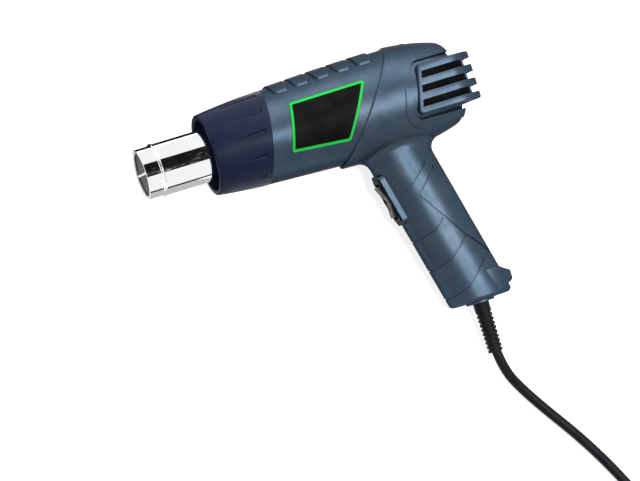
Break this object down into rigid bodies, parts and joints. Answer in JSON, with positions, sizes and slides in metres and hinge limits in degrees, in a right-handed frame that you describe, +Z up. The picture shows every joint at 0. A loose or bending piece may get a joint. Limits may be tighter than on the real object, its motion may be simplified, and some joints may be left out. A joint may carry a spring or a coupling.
{
  "type": "heat gun",
  "caption": "Pistol-form hot-air gun with a plain steel nozzle tube, a fluted collar, a three-position rocker in the grip, a slotted air intake and a coiled mains lead.",
  "frame": {"origin": "centre of the nozzle tube's mouth", "axes": "+X back along the barrel from the mouth to the air intake, +Z up from the surface the gun lies on, the gun lying on its right side with the grip towards -Y"},
  "size_m": [0.3156, 0.4533, 0.0685],
  "materials": {
    "housing_blue": "satin grey-blue polyamide",
    "screw_steel": "zinc-plated steel",
    "collar_navy": "satin dark navy polyamide",
    "nozzle_steel": "polished stainless steel",
    "mesh_steel": "fine punched steel, dulled by heat",
    "badge_black": "gloss black plate with a green edge",
    "mica": "mica sheet",
    "heating_alloy": "iron-chromium-aluminium wire",
    "ceramic": "steatite",
    "terminal_brass": "plain brass",
    "motor_steel": "zinc-plated steel can",
    "mount_black": "black glass-filled polyamide",
    "magnet_ferrite": "sintered ferrite",
    "bearing_bronze": "oil-filled bronze",
    "lamination_steel": "stacked laminations",
    "winding_copper": "enamelled copper wire",
    "fan_grey": "light grey polyamide",
    "board_green": "glass-epoxy circuit board",
    "capacitor_yellow": "moulded case",
    "switch_black": "black polyamide",
    "rocker_black": "black with white marks",
    "relief_rubber": "matt black elastomer",
    "cord_black": "matt black sheath",
    "lead_red": "silicone-insulated wire",
    "lead_blue": "silicone-insulated wire",
    "lead_yellow": "silicone-insulated wire",
    "lead_white": "silicone-insulated wire",
    "tie_black": "soft tie",
    "plug_black": "moulded-on plug"
  },
  "bodies": {
    "gun": {"left_shell": "housing_blue", "right_shell": "housing_blue", "housing_screws": "screw_steel", "front_collar": "collar_navy", "nozzle_tube": "nozzle_steel", "outlet_grille": "mesh_steel", "grille_bar": "mesh_steel", "badge_left": "badge_black", "badge_right": "badge_black", "intake_grille": "housing_blue", "mica_sleeve": "mica", "mica_board_upright": "mica", "mica_board_level": "mica", "heater_winding": "heating_alloy", "heater_end_disc": "ceramic", "heater_terminals": "terminal_brass", "thermal_cutout": "ceramic", "motor_can": "motor_steel", "motor_end_cap": "mount_black", "motor_magnets": "magnet_ferrite", "front_bearing": "bearing_bronze", "rear_bearing": "bearing_bronze", "motor_mount": "mount_black", "rectifier_board": "board_green", "suppressor_capacitor": "capacitor_yellow", "switch_bezel": "switch_black", "switch_body": "switch_black", "switch_terminals": "terminal_brass", "strain_relief": "relief_rubber", "cord_clamp": "mount_black", "clamp_screws": "screw_steel", "cord_inner_end": "cord_black", "lead_live": "lead_red", "lead_neutral": "lead_blue", "lead_low": "lead_yellow", "lead_high": "lead_white", "power_cord": "cord_black", "cord_coil": "cord_black", "coil_tie": "tie_black", "plug_body": "plug_black", "plug_blade_line": "terminal_brass", "plug_blade_neutral": "terminal_brass"},
    "rotor": {"motor_shaft": "screw_steel", "fan_impeller": "fan_grey", "armature_core": "lamination_steel", "armature_windings": "winding_copper", "commutator": "winding_copper"},
    "rocker": {"switch_rocker": "rocker_black"}
  },
  "joints": [
    {"name": "fan_spin", "type": "hinge", "parent": "gun", "child": "rotor", "pos_m": [0.19, 0, 0], "axis": [1, 0, 0], "continuous": true},
    {"name": "switch_rock", "type": "hinge", "parent": "gun", "child": "rocker", "pos_m": [0.16173, -0.0646, -0.00726], "axis": [0, -0.1117, 0.9937], "range_deg": [-12, 12]}
  ]
}
